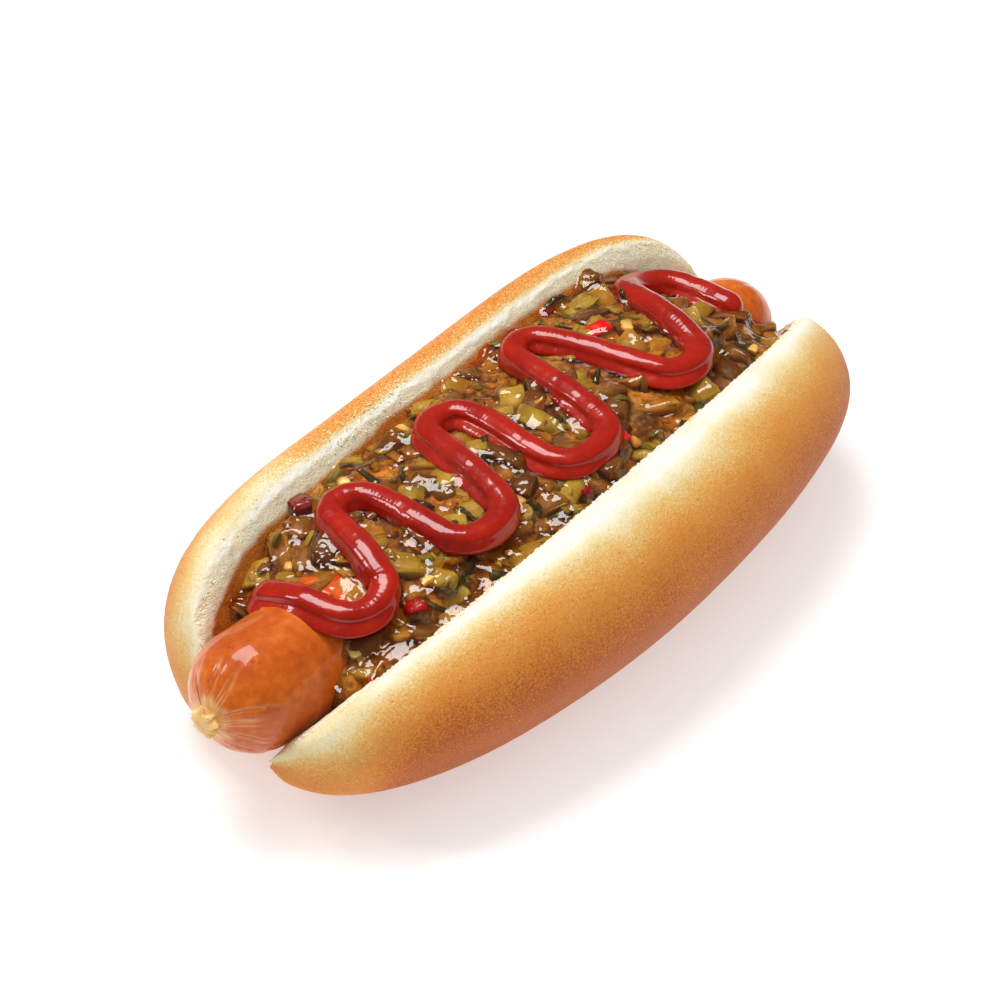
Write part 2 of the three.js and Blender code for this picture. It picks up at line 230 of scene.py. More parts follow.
def ring_faces(rings, sides):
    """Four-sided faces between rings of points, closed round each ring."""
    i, k = np.meshgrid(np.arange(rings - 1), np.arange(sides), indexing="ij")
    a = (i * sides + k).ravel()
    b = (i * sides + (k + 1) % sides).ravel()
    return np.stack([a, b, b + sides, a + sides], 1)


def place(points):
    """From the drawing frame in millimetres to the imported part's frame in metres."""
    return (np.asarray(points, float) + DRAWING_SHIFT) * MM


def make_piece(name, points, faces, material, marks=None, caps=()):
    """A smooth mesh piece. marks are named values for each point that its material reads."""
    mesh = bpy.data.meshes.new(name)
    mesh.from_pydata(place(points).tolist(), [], [list(f) for f in faces.tolist()] + [list(c) for c in caps])
    for label, values in (marks or {}).items():
        layer = mesh.attributes.new(label, "FLOAT", "POINT")
        layer.data.foreach_set("value", np.asarray(values, np.float32))
    mesh.shade_smooth()
    mesh.materials.append(material)
    piece = bpy.data.objects.new(name, mesh)
    bpy.context.scene.collection.objects.link(piece)
    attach(piece, "root")
    return piece


# Bun shape

def taper(s, shape):
    """How much of its full size a section keeps at a share s of the half length, -1 to 1."""
    near, far = shape
    power, root = (np.where(s < 0, near[k], far[k]) for k in (0, 1))
    return (1 - np.abs(s) ** power) ** (1 / root)


def tip_y(side):
    """How far from the middle plane the tip of a half lies."""
    return SLIM_TIP_Y if side > 0 else FULL_TIP_Y


def bun_points(s, y, z, side, shape):
    """The bun's surface at shares s of its half length, for section points (y, z)."""
    s = s[:, None]
    out = smoothstep(y, 4, 21)[None, :]
    size = mix(taper(s, BASE_TAPER), taper(s, shape), out)
    pivot_y = tip_y(side) * out
    pivot_z = mix(END_FLOOR_Z, END_TIP_Z, out)
    x = BUN_CENTRE_X + s * (BUN_LENGTH / 2 - END_NOTCH * (1 - out) * s * s)
    x = x - out * (side < 0) * FULL_NEAR_REACH * np.abs(np.minimum(s, 0)) ** NEAR_REACH_POWER
    x = x - out * FAR_SHORTENING * np.maximum(s, 0) ** FAR_SHORTENING_POWER
    return np.stack([x, side * (pivot_y + (y - pivot_y) * size), pivot_z + (z - pivot_z) * size], 2)


def lip(x, side):
    """Distance from the middle plane and height of the torn lip at x, on the +Y or -Y half."""
    s = np.clip((np.asarray(x, float) - BUN_CENTRE_X) * 2 / BUN_LENGTH, -0.999, 0.999)
    point, shape = (SLIM_HALF[LIP_POINT], SLIM_TAPER) if side > 0 else (FULL_HALF[LIP_POINT], FULL_TAPER)
    size = taper(s, shape)
    return tip_y(side) + (point[0] - tip_y(side)) * size, END_TIP_Z + (point[1] - END_TIP_Z) * size


def drawing_shift():
    """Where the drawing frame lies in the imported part's: along X by the sausage, else by the bun."""
    s = np.array([-0.5, 0, 0.5])
    low, high = (np.array(corner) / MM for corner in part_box("bun"))
    start, end = (corner[0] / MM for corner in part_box("sausage"))
    slim = curve_through(SLIM_HALF, 200, 0)
    full = curve_through(FULL_HALF, 200, 0)
    y_high = bun_points(s, slim[:, 0], slim[:, 1], 1, SLIM_TAPER)[..., 1].max()
    y_low = bun_points(s, full[:, 0], full[:, 1], -1, FULL_TAPER)[..., 1].min()
    shift_x = (start + end - SAUSAGE_START_X - SAUSAGE_END_X) / 2
    return np.array([shift_x, (low[1] + high[1] - y_low - y_high) / 2, low[2]])


DRAWING_SHIFT = drawing_shift()


# Camera

def set_camera():
    azimuth, elevation = math.radians(CAMERA_AZIMUTH), math.radians(CAMERA_ELEVATION)
    back = Vector((
        math.sin(azimuth) * math.cos(elevation),
        -math.cos(azimuth) * math.cos(elevation),
        math.sin(elevation),
    ))
    data = bpy.data.cameras.new("camera")
    data.lens = CAMERA_LENS
    data.sensor_width = SENSOR
    camera = bpy.data.objects.new("camera", data)
    camera.location = Vector(place([CAMERA_TARGET])[0]) + back * CAMERA_DISTANCE * MM
    camera.rotation_mode = "QUATERNION"
    camera.rotation_quaternion = (-back).to_track_quat("-Z", "Y")
    bpy.context.scene.collection.objects.link(camera)
    bpy.context.scene.camera = camera


set_camera()


# Material helpers

def give(tree, socket, value):
    """Sets a shader input to a value, or links another node's output to it."""
    if isinstance(value, bpy.types.NodeSocket):
        tree.links.new(value, socket)
    else:
        socket.default_value = value


def add(tree, kind, inputs=None, **settings):
    """A shader node with its settings, its inputs given as values or as other nodes' outputs."""
    made = tree.nodes.new(kind)
    for name, value in settings.items():
        setattr(made, name, value)
    for name, value in (inputs or {}).items():
        give(tree, made.inputs[name], value)
    return made


def colour(r, g, b):
    """A colour as the eye reads it, 0 to 255, in the renderer's own scale."""
    straight = [c / 255 / 12.92 if c <= 10 else ((c / 255 + 0.055) / 1.055) ** 2.4 for c in (r, g, b)]
    return (*straight, 1)


def ramp(tree, share, stops):
    """Colours along a share from 0 to 1: stops are (place, colour)."""
    made = add(tree, "ShaderNodeValToRGB", {"Fac": share})
    band = made.color_ramp
    while len(band.elements) < len(stops):
        band.elements.new(0.5)
    for element, (at, value) in zip(band.elements, stops):
        element.position = at
        element.color = value
    return made.outputs["Color"]


def blend(tree, share, first, second):
    """A colour between two, at a share from 0 to 1."""
    made = add(tree, "ShaderNodeMix", data_type="RGBA")
    for at, value in ((0, share), (6, first), (7, second)):
        give(tree, made.inputs[at], value)
    return made.outputs[2]


def maths(tree, operation, first, second=0.0, third=0.0):
    made = add(tree, "ShaderNodeMath", operation=operation)
    for at, value in enumerate((first, second, third)):
        give(tree, made.inputs[at], value)
    return made.outputs[0]


def mark(tree, name):
    """A named value that the mesh carries on its points."""
    return add(tree, "ShaderNodeAttribute", attribute_name=name).outputs["Fac"]


def noise(tree, size, detail, roughness):
    """Noise of features about size millimetres across, from 0 to 1."""
    where = add(tree, "ShaderNodeTexCoord").outputs["Object"]
    made = add(tree, "ShaderNodeTexNoise", {
        "Vector": where, "Scale": 1 / (size * MM), "Detail": detail, "Roughness": roughness,
    })
    return made.outputs["Fac"]


def new_group(name, numbers, outputs):
    """An empty shader group with named number inputs and outputs."""
    group = bpy.data.node_groups.new(name, "ShaderNodeTree")
    for label, value in numbers.items():
        socket = group.interface.new_socket(label, in_out="INPUT", socket_type="NodeSocketFloat")
        socket.default_value = value
    for label in outputs:
        group.interface.new_socket(label, in_out="OUTPUT", socket_type="NodeSocketFloat")
    return group, group.nodes.new("NodeGroupInput"), group.nodes.new("NodeGroupOutput")


def use_group(tree, group, **numbers):
    made = tree.nodes.new("ShaderNodeGroup")
    made.node_tree = group
    for label, value in numbers.items():
        made.inputs[label.replace("_", " ")].default_value = value
    return made.outputs


def sized_noise(group, size, detail, roughness):
    """Noise inside a group, of features as many millimetres across as the socket says."""
    where = add(group, "ShaderNodeTexCoord").outputs["Object"]
    scale = maths(group, "DIVIDE", 1 / MM, size)
    made = add(group, "ShaderNodeTexNoise", {
        "Vector": where, "Scale": scale, "Detail": detail, "Roughness": roughness,
    })
    return made.outputs["Fac"]


def make_mottle():
    """Cloudy variation of one size with finer variation inside it."""
    group, given, out = new_group("mottle", {"Size": 6.0, "Fine Size": 1.0, "Fine Share": 0.35}, ["Mask"])
    broad = sized_noise(group, given.outputs["Size"], 3.0, 0.5)
    fine = sized_noise(group, given.outputs["Fine Size"], 2.0, 0.5)
    share = given.outputs["Fine Share"]
    kept = maths(group, "MULTIPLY", broad, maths(group, "SUBTRACT", 1.0, share))
    total = maths(group, "MULTIPLY_ADD", fine, share, kept)
    wide = add(group, "ShaderNodeMapRange", {"Value": total, "From Min": 0.35, "From Max": 0.65})
    group.links.new(wide.outputs[0], out.inputs["Mask"])
    return group


def make_specks():
    """Scattered small specks: 1 in each speck and 0 between them."""
    group, given, out = new_group("specks", {"Spacing": 1.0, "Speck Size": 0.2}, ["Mask"])
    where = add(group, "ShaderNodeTexCoord").outputs["Object"]
    scale = maths(group, "DIVIDE", 1 / MM, given.outputs["Spacing"])
    cells = add(group, "ShaderNodeTexVoronoi", {"Vector": where, "Scale": scale})
    edge = maths(group, "MULTIPLY", given.outputs["Speck Size"], 1.6)
    near = add(group, "ShaderNodeMapRange", {
        "Value": cells.outputs["Distance"], "From Min": given.outputs["Speck Size"],
        "From Max": edge, "To Min": 1.0, "To Max": 0.0,
    })
    group.links.new(near.outputs[0], out.inputs["Mask"])
    return group


MOTTLE = make_mottle()
SPECKS = make_specks()


def new_material(name):
    material = bpy.data.materials.new(name)
    material.use_nodes = True
    tree = material.node_tree
    tree.nodes.clear()
    surface = add(tree, "ShaderNodeBsdfPrincipled")
    out = add(tree, "ShaderNodeOutputMaterial", {"Surface": surface.outputs["BSDF"]})
    out.is_active_output = True
    return material, tree, surface


def set_inputs(tree, surface, **values):
    for label, value in values.items():
        give(tree, surface.inputs[label.replace("_", " ")], value)


def bump(tree, height, depth):
    """A normal from a height of 0 to 1 that stands for depth millimetres."""
    made = add(tree, "ShaderNodeBump", {"Height": height, "Distance": depth * MM, "Strength": 1.0})
    return made.outputs["Normal"]


# Materials

def bun_material():
    """Baked crust going from cream at the lip to golden brown, and open crumb where it is torn. Pores and
    pits carry painted shade.
    """
    material, tree, surface = new_material("baked bun")
    bake, crumb, soak = mark(tree, "bake"), mark(tree, "crumb"), mark(tree, "soak")
    clouds = use_group(tree, MOTTLE, Size=9.0, Fine_Size=0.9, Fine_Share=0.3)["Mask"]
    shifted = maths(tree, "MULTIPLY_ADD", maths(tree, "SUBTRACT", clouds, 0.5), 0.09, bake)
    grainy = maths(tree, "SUBTRACT", noise(tree, 0.34, 2.0, 0.6), 0.5)
    shifted = maths(tree, "MULTIPLY_ADD", grainy, mark(tree, "speckle"), shifted)
    crust = ramp(tree, shifted, [
        (0.0, colour(243, 240, 228)),
        (0.1, colour(236, 222, 176)),
        (0.22, colour(231, 189, 113)),
        (0.37, colour(227, 156, 74)),
        (0.56, colour(224, 141, 58)),
        (0.78, colour(207, 112, 40)),
        (1.0, colour(182, 92, 36)),
    ])
    # Painted shade: the crust's pores are coloured darker brown, as shade in these small hollows.
    pores = use_group(tree, SPECKS, Spacing=1.1, Speck_Size=0.16)["Mask"]
    freckles = use_group(tree, SPECKS, Spacing=0.8, Speck_Size=0.1)["Mask"]
    slight = maths(tree, "MULTIPLY", bake, 0.3)
    crust = blend(tree, maths(tree, "MULTIPLY", pores, slight), crust, colour(150, 84, 40))
    crust = blend(tree, maths(tree, "MULTIPLY", freckles, slight), crust, colour(240, 190, 118))
    crumb_clouds = use_group(tree, MOTTLE, Size=3.4, Fine_Size=0.3, Fine_Share=0.6)["Mask"]
    inside = blend(tree, crumb_clouds, colour(254, 236, 192), colour(255, 250, 226))
    # Painted shade: the crumb's pits are coloured darker tan, as shade down in the open pores.
    pits = use_group(tree, SPECKS, Spacing=0.62, Speck_Size=0.22)["Mask"]
    inside = blend(tree, maths(tree, "MULTIPLY", pits, 0.3), inside, colour(232, 190, 124))
    juicy = blend(tree, crumb_clouds, colour(178, 84, 14), colour(226, 146, 60))
    inside = blend(tree, soak, inside, juicy)
    base = blend(tree, crumb, crust, inside)
    grain = noise(tree, 0.36, 4.0, 0.65)
    fine = noise(tree, 0.32, 3.0, 0.6)
    crumb_relief = maths(tree, "MULTIPLY", fine, 1.6)
    height = maths(tree, "MULTIPLY_ADD", crumb, crumb_relief, maths(tree, "MULTIPLY", grain, 0.8))
    height = maths(tree, "SUBTRACT", height, maths(tree, "MULTIPLY", pores, 0.35))
    open_pits = maths(tree, "MULTIPLY", pits, crumb)
    height = maths(tree, "SUBTRACT", height, maths(tree, "MULTIPLY", open_pits, 0.35))
    rough = maths(tree, "MULTIPLY_ADD", crumb, 0.35, 0.5)
    set_inputs(
        tree, surface, Base_Color=base, Roughness=rough, Normal=bump(tree, height, 0.2),
        Subsurface_Weight=0.22, Subsurface_Scale=0.0022, Specular_IOR_Level=0.2,
    )
    surface.inputs["Subsurface Radius"].default_value = (1.0, 0.62, 0.32)
    return material


def crumb_material():
    """Dry loose crumb, cream with a little toast."""
    material, tree, surface = new_material("loose crumb")
    clouds = use_group(tree, MOTTLE, Size=6.0, Fine_Size=0.7, Fine_Share=0.4)["Mask"]
    base = blend(tree, clouds, colour(246, 232, 196), colour(253, 249, 234))
    set_inputs(
        tree, surface, Base_Color=base, Roughness=0.9, Specular_IOR_Level=0.1,
        Normal=bump(tree, noise(tree, 0.2, 2.0, 0.5), 0.02),
    )
    return material


def sausage_material():
    """Smoked casing, mottled orange-brown, pale where it is pleated and gathered, with painted shade in the
    pleat grooves.
    """
    material, tree, surface = new_material("smoked sausage")
    pale, groove, crease = mark(tree, "pale"), mark(tree, "groove"), mark(tree, "crease")
    clouds = use_group(tree, MOTTLE, Size=11.0, Fine_Size=1.6, Fine_Share=0.35)["Mask"]
    skin = ramp(tree, clouds, [
        (0.0, colour(182, 74, 18)), (0.5, colour(202, 94, 25)), (1.0, colour(224, 118, 36)),
    ])
    meat = use_group(tree, SPECKS, Spacing=4.4, Speck_Size=0.07)["Mask"]
    skin = blend(tree, maths(tree, "MULTIPLY", meat, 0.5), skin, colour(160, 30, 14))
    # Painted shade: the casing is coloured darker down in the pleat grooves.
    skin = blend(tree, maths(tree, "MULTIPLY", groove, 0.45), skin, colour(164, 70, 26))
    skin = blend(tree, crease, skin, colour(244, 178, 112))
    skin = blend(tree, pale, skin, colour(238, 198, 128))
    wrinkles = noise(tree, 1.1, 4.0, 0.65)
    waves = noise(tree, 5.0, 2.0, 0.5)
    height = maths(tree, "MULTIPLY_ADD", wrinkles, 0.3, waves)
    set_inputs(
        tree, surface, Base_Color=skin, Roughness=0.35, Normal=bump(tree, height, 0.3),
        Specular_IOR_Level=0.15, Subsurface_Weight=0.25, Subsurface_Scale=0.002,
        Coat_Weight=0.55, Coat_Roughness=0.05,
    )
    surface.inputs["Subsurface Radius"].default_value = (1.0, 0.35, 0.12)
    return material


def diced_material(name, stops):
    """Diced vegetable: each piece takes its own tone, with cloudy variation inside it."""
    material, tree, surface = new_material(name)
    tone = mark(tree, "tone")
    clouds = use_group(tree, MOTTLE, Size=2.4, Fine_Size=0.5, Fine_Share=0.3)["Mask"]
    shifted = maths(tree, "MULTIPLY_ADD", maths(tree, "SUBTRACT", clouds, 0.5), 0.22, tone)
    base = ramp(tree, shifted, stops)
    height = noise(tree, 0.8, 3.0, 0.55)
    set_inputs(
        tree, surface, Base_Color=base, Roughness=0.35, Normal=bump(tree, height, 0.12),
        Subsurface_Weight=0.6, Subsurface_Scale=0.0025, Specular_IOR_Level=0.2,
    )
    surface.inputs["Subsurface Radius"].default_value = (1.0, 0.75, 0.2)
    return material


def jelly_bed_material():
    """The brown syrup and mashed pickle that the diced pieces lie in."""
    material, tree, surface = new_material("brown relish bed")
    clouds = use_group(tree, MOTTLE, Size=5.0, Fine_Size=1.1, Fine_Share=0.4)["Mask"]
    base = ramp(tree, clouds, [
        (0.0, colour(54, 30, 8)), (0.35, colour(102, 62, 16)),
        (0.7, colour(150, 100, 28)), (1.0, colour(194, 134, 46)),
    ])
    height = noise(tree, 1.6, 4.0, 0.55)
    set_inputs(
        tree, surface, Base_Color=base, Roughness=0.35, Normal=bump(tree, height, 0.4),
        Subsurface_Weight=0.3, Subsurface_Scale=0.002, Specular_IOR_Level=0.2,
    )
    surface.inputs["Subsurface Radius"].default_value = (1.0, 0.5, 0.12)
    return material


def glaze_material():
    """Clear amber syrup over the relish, redder beside the ketchup."""
    material, tree, surface = new_material("amber glaze")
    depth, stain = mark(tree, "depth"), mark(tree, "stain")
    amber = ramp(tree, depth, [
        (0.0, colour(255, 244, 208)), (0.3, colour(250, 214, 142)),
        (0.65, colour(232, 168, 88)), (1.0, colour(200, 118, 44)),
    ])
    base = blend(tree, stain, amber, colour(178, 34, 34))
    height = noise(tree, 2.1, 1.0, 0.5)
    set_inputs(
        tree, surface, Base_Color=base, Roughness=0.02, Normal=bump(tree, height, 0.5),
        Transmission_Weight=1.0, IOR=1.6,
    )
    return material


def ketchup_material():
    """Thick glossy tomato sauce."""
    material, tree, surface = new_material("ketchup sauce")
    clouds = use_group(tree, MOTTLE, Size=7.0, Fine_Size=1.2, Fine_Share=0.25)["Mask"]
    base = blend(tree, clouds, colour(150, 18, 5), colour(180, 32, 9))
    pulp = noise(tree, 0.7, 3.0, 0.65)
    waves = noise(tree, 2.6, 2.0, 0.5)
    height = maths(tree, "MULTIPLY_ADD", pulp, 0.3, waves)
    set_inputs(
        tree, surface, Base_Color=base, Roughness=0.28, Normal=bump(tree, height, 0.16),
        Specular_IOR_Level=0.15, Subsurface_Weight=0.2, Subsurface_Scale=0.0012,
        Coat_Weight=0.85, Coat_Roughness=0.04,
    )
    surface.inputs["Subsurface Radius"].default_value = (1.0, 0.12, 0.06)
    return material


def floor_material():
    material, tree, surface = new_material("pale floor")
    clouds = use_group(tree, MOTTLE, Size=60.0, Fine_Size=9.0, Fine_Share=0.3)["Mask"]
    base = blend(tree, clouds, colour(216, 216, 215), colour(222, 222, 221))
    set_inputs(
        tree, surface, Base_Color=base, Roughness=0.85, Specular_IOR_Level=0.2,
        Emission_Color=colour(255, 255, 255), Emission_Strength=0.46,
    )
    return material


# Bun

def section_shares(profile):
    """Shares of a half section's length, closest round its lip, and their distance past the lip."""
    fine = curve_through(profile, 400, 0)
    length = np.linalg.norm(np.diff(fine, axis=0), axis=1).sum()
    lip_share = np.linalg.norm(fine - np.array(profile[LIP_POINT]), axis=1).argmin() / 399
    low, high = lip_share - LIP_ZONE / length, lip_share + LIP_ZONE / length
    shares = np.concatenate([
        np.linspace(0, low, CRUST_POINTS, endpoint=False),
        np.linspace(low, high, LIP_POINTS, endpoint=False),
        np.linspace(high, 1, CUT_POINTS),
    ])
    return shares, (shares - lip_share) * length


def half_bun(profile, side, shape, stations):
    """Rings of points over one half, and each ring point's distance past the lip."""
    shares, past = section_shares(profile)
    section = curve_through(profile, shares, 0)
    return bun_points(stations, section[:, 0], section[:, 1], side, shape), past


def bun():
    """Both halves as one closed skin, with torn crumb from the lips down the cut faces."""
    turn = np.pi / 2 * BUN_END_SHARE
    stations = np.sin(np.linspace(-turn, turn, BUN_STATIONS))
    slim, slim_past = half_bun(SLIM_HALF, 1, SLIM_TAPER, stations)
    full, full_past = half_bun(FULL_HALF, -1, FULL_TAPER, stations)
    rings = np.concatenate([slim, full[:, ::-1][:, 1:-1]], axis=1)
    count = rings.shape[1]
    past = np.tile(np.concatenate([slim_past, full_past[::-1][1:-1]]), len(stations))
    on_slim = np.tile(np.arange(count) < len(slim_past), len(stations))
    s = np.repeat(stations, count)
    points = rings.reshape(-1, 3)
    faces = ring_faces(len(stations), count)
    normals = vertex_normals(points, faces)
    size = np.where(on_slim, taper(s, SLIM_TAPER), taper(s, FULL_TAPER))
    from_lip = past
    past = past * np.maximum(size, 0.35)

    # Where the crust ends and the torn crumb starts, in millimetres past the lip.
    ragged = rough_noise(points, 2.4, 3, 3) * 1.1
    start = np.where(on_slim, SLIM_CRUST_END, FULL_CRUST_END)
    crumb = smoothstep(past + ragged, start, start + 1.3)
    near_tip = (1 - on_slim) * smoothstep(-s, 0.8, 0.92)
    crumb = crumb * (1 - 0.85 * near_tip)
    juice = np.interp(s, *zip(*JUICE_START))
    soak = smoothstep(past + 0.9 * rough_noise(points, 3.2, 3, 8) - juice, -0.5, 1.1)
    soak = soak * np.where(on_slim, 1, smoothstep(past, 2, 4) * (1 - smoothstep(-s, 0.9, 0.95)))

    # Baking: pale by the lip, browner the further down the side, and toasted along the slim half's top.
    away = -from_lip - np.where(on_slim, SLIM_PALE_BAND, np.interp(s, *zip(*PALE_BAND)))
    bake = clamp01(away / BAND_TO_BROWN) * (1 - 0.5 * smoothstep(-s, 0.86, 0.96))
    toasted = smoothstep(s, -0.75, -0.25) * (0.35 + 0.65 * (1 - smoothstep(s, 0.82, 1)))
    toast = np.where(on_slim, smoothstep(away, 0, 3.6) * 0.54 * toasted, 0)
    bake = np.maximum(np.maximum(bake, toast), 0.1 * near_tip)
    bake = clamp01(bake + 0.05 * rough_noise(points, 14, 3, 2) * (bake > 0.02))

    relief = 0.35 * rough_noise(points, 26, 2, 12) * (points[:, 2] > 1.5)
    ends_in = (1 - on_slim) * smoothstep(-s, 0.72, 0.86) * smoothstep(past, -1.5, 1)
    at_end = smoothstep(-s, 0.7, 0.85)
    torn = np.where(on_slim, 0.12 + 0.08 * at_end, 0.55) * rough_noise(points, 1.2, 3, 21)
    torn = crumb * (torn + 0.12 * rough_noise(points, 4.5, 2, 22)) + ends_in
    ridge = np.exp(-(((past + ragged - start - 0.4) / 0.9) ** 2)) * 0.2
    ridge = ridge * (1 + rough_noise(points, 1.2, 2, 25))
    skin = 0.035 * rough_noise(points, 1.1, 2, 14) * (1 - crumb)
    points = points + normals * ((relief + torn + ridge + skin) * smoothstep(size, 0.05, 0.3))[:, None]
    points[:, 2] = np.maximum(points[:, 2], 0)

    last = (len(stations) - 1) * count
    caps = [list(range(count))[::-1], list(range(last, last + count))]
    piece = make_piece(
        "bun_dressed", points, faces[:, ::-1], bun_material(),
        {"bake": bake, "crumb": crumb, "soak": clamp01(soak), "speckle": 1.9 * bake + 2.2 * toast}, caps,
    )
    outward(piece)
    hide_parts("bun")
    torn_crumbs()
    return piece


def torn_crumbs():
    """Loose bits of crumb that stand off the torn lips."""
    random = np.random.default_rng(17)
    ball = bmesh.new()
    bmesh.ops.create_icosphere(ball, subdivisions=1, radius=1)
    form = np.array([v.co for v in ball.verts])
    form_faces = np.array([[v.index for v in f.verts] for f in ball.faces])
    ball.free()
    points, faces = [], []
    for profile, side, shape, middle, count in (
        (SLIM_HALF, 1, SLIM_TAPER, SLIM_CRUMB_LINE, SLIM_CRUMBS),
        (FULL_HALF, -1, FULL_TAPER, FULL_CRUMB_LINE, FULL_CRUMBS),
    ):
        section = curve_through(profile, 400, 0)
        lip_at = np.linalg.norm(section - np.array(profile[LIP_POINT]), axis=1).argmin()
        step = np.linalg.norm(np.diff(section, axis=0), axis=1).mean()
        s = random.uniform(-0.985, 0.985, count)
        along = random.normal(middle, 1.0, count)
        spots = section[(lip_at + along / step).astype(int)]
        for share, spot in zip(s, spots):
            centre = bun_points(np.array([share]), spot[:1], spot[1:], side, shape)[0, 0]
            size = random.uniform(0.12, 0.38) * np.array([1.3, 1, 0.8]) * (0.6 if side > 0 else 1)
            piece = turned(form * size * random.uniform(0.7, 1.3, form.shape), random.uniform(0, 6.3, 3))
            faces.append(form_faces + len(points) * len(form))
            points.append(piece + centre + random.normal(0, 0.1, 3))
    piece = make_piece("torn_crumbs", np.concatenate(points), np.concatenate(faces), crumb_material())
    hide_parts("bun")


def outward(piece):
    """Turns all faces of a closed piece outward."""
    shape = bmesh.new()
    shape.from_mesh(piece.data)
    bmesh.ops.recalc_face_normals(shape, faces=shape.faces)
    shape.to_mesh(piece.data)
    shape.free()


# Sausage

def sausage_radius(share):
    return mix(SAUSAGE_NEAR_RADIUS, SAUSAGE_FAR_RADIUS, share)


def sausage_profile(along, length):
    """Radius at a distance along the sausage: a knot, a dome, the body, and the same again."""
    from_tip = np.minimum(along, length - along)
    body = sausage_radius(along / length)
    knot_end = KNOT[-1][0]
    knot = np.interp(from_tip, *zip(*KNOT))
    share = clamp01((from_tip - knot_end) / DOME_LENGTH)
    dome = body * np.sqrt(clamp01(1 - (1 - share) ** 2))
    return np.where(from_tip < knot_end + 0.25, knot, np.maximum(dome, KNOT[-1][1]))


def sausage():
    """The casing, pleated on both domes and gathered in a crumpled knot on each tip."""
    fine = curve_through(SAUSAGE_AXIS, 800)
    length = np.linalg.norm(np.diff(fine, axis=0), axis=1).sum()
    turn = np.linspace(-1, 1, SAUSAGE_STATIONS)
    eased = np.sign(turn) * (1 - (1 - np.abs(turn)) ** 1.55)
    along = (eased + 1) / 2 * length
    centres = curve_through(SAUSAGE_AXIS, along / length)
    forward = np.gradient(centres, axis=0)
    forward /= np.linalg.norm(forward, axis=1, keepdims=True)
    sideways = np.cross([0, 0, 1], forward)
    sideways /= np.linalg.norm(sideways, axis=1, keepdims=True)
    up = np.cross(forward, sideways)
    angle = np.linspace(0, 2 * np.pi, SAUSAGE_SIDES, endpoint=False)
    radius = sausage_profile(along, length)
    from_tip = np.minimum(along, length - along)
    random = np.random.default_rng(5)

    # Pleats: uneven folds round the tip that fade along the dome, each to its own length.
    pleats = np.zeros((len(along), len(angle)))
    for k in range(PLEATS):
        at = 2 * np.pi * (k + 0.35 * random.uniform(-1, 1)) / PLEATS
        reach = random.uniform(5.5, 13)
        deep = random.uniform(0.4, 1)
        twist = 0.05 * random.uniform(-1, 1)
        wide = 0.055 + 0.02 * random.uniform(-1, 1)
        gap = (angle[None, :] - at - twist * from_tip[:, None] + np.pi) % (2 * np.pi) - np.pi
        fade = 1 - smoothstep(from_tip, 2, reach)
        pleats += deep * fade[:, None] * np.exp(-((gap / wide) ** 2))
    r = radius[:, None] * (1 - 0.075 * pleats)
    ruffle = np.exp(-(((from_tip - 1.3) / 1.2) ** 2))[:, None]
    frill = np.sin(9 * angle + 1.5 + 1.2 * np.sin(2 * angle)) + 0.6 * np.sin(5 * angle)
    rows = np.stack(np.broadcast_arrays(from_tip[:, None], 2 * np.cos(angle), 2 * np.sin(angle)), -1)
    crumpled = rough_noise(rows.reshape(-1, 3), 0.9, 3, 44).reshape(r.shape)
    r = r * (1 + ruffle * (0.16 * frill[None, :] + 0.3 * crumpled))
    points = (
        centres[:, None]
        + sideways[:, None] * (r * np.cos(angle))[..., None]
        + up[:, None] * (r * np.sin(angle))[..., None]
    ).reshape(-1, 3)
    faces = ring_faces(len(along), len(angle))
    normals = vertex_normals(points, faces)
    body = np.repeat(smoothstep(from_tip, 3, 16), len(angle))
    points = points - normals * (0.12 * rough_noise(points, 13, 2, 41) * body)[:, None]
    near_tip = np.repeat(from_tip, len(angle))
    # How deep each point lies in a pleat. The material paints shade into the grooves from this.
    folds = pleats.reshape(-1)
    uneven = rough_noise(points, 2.2, 3, 43)
    pale = (1 - smoothstep(near_tip + 1.1 * uneven, 1.9, 3.6)) * (1 - 0.7 * clamp01(folds - 0.2))
    ridge_line = np.exp(-(((folds - 0.3) / 0.12) ** 2)) * clamp01(0.6 + uneven)
    crease = np.exp(-((near_tip / 8) ** 2)) * ridge_line
    last = (len(along) - 1) * len(angle)
    caps = [list(range(len(angle)))[::-1], list(range(last, last + len(angle)))]
    piece = make_piece(
        "sausage_dressed", points, faces, sausage_material(),
        {"pale": clamp01(pale), "groove": clamp01(folds), "crease": clamp01(crease)}, caps,
    )
    outward(piece)
    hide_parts("sausage")
    return piece


def sausage_top(x, y):
    """Height of the sausage's skin above a point, or 0 beside it."""
    centres = curve_through(SAUSAGE_AXIS, 300)
    cy = np.interp(x, centres[:, 0], centres[:, 1])
    cz = np.interp(x, centres[:, 0], centres[:, 2])
    radius = sausage_radius((x - SAUSAGE_START_X) / (SAUSAGE_END_X - SAUSAGE_START_X))
    across = (y - cy) / radius
    return np.where(np.abs(across) < 1, cz + radius * np.sqrt(clamp01(1 - across**2)), 0)


# Relish

def heap_top(x, y):
    """The top of the bare heap: crowned, sloping to both ends, and just below the bun's lips."""
    near = 1 - smoothstep(x, HEAP_START_X, HEAP_START_X + HEAP_END_SLOPE)
    far = smoothstep(x, HEAP_END_X - HEAP_END_SLOPE, HEAP_END_X)
    crowned = HEAP_TOP_Z - HEAP_CROWN * y * y - HEAP_END_DROP * (near + far)
    for side in (-1, 1):
        lip_y, lip_z = lip(x, side)
        rim = lip_z - HEAP_BELOW_LIP + HEAP_RISE * (lip_y - side * y)
        crowned = np.minimum(crowned, rim)
    return crowned


def heap_grid(step, start, end):
    """A flat grid over the heap: x and y for each of its points."""
    x = np.arange(start, end + step / 2, step)
    y = np.arange(-HEAP_REACH_Y, HEAP_REACH_Y + step / 2, step)
    return np.meshgrid(x, y, indexing="ij")


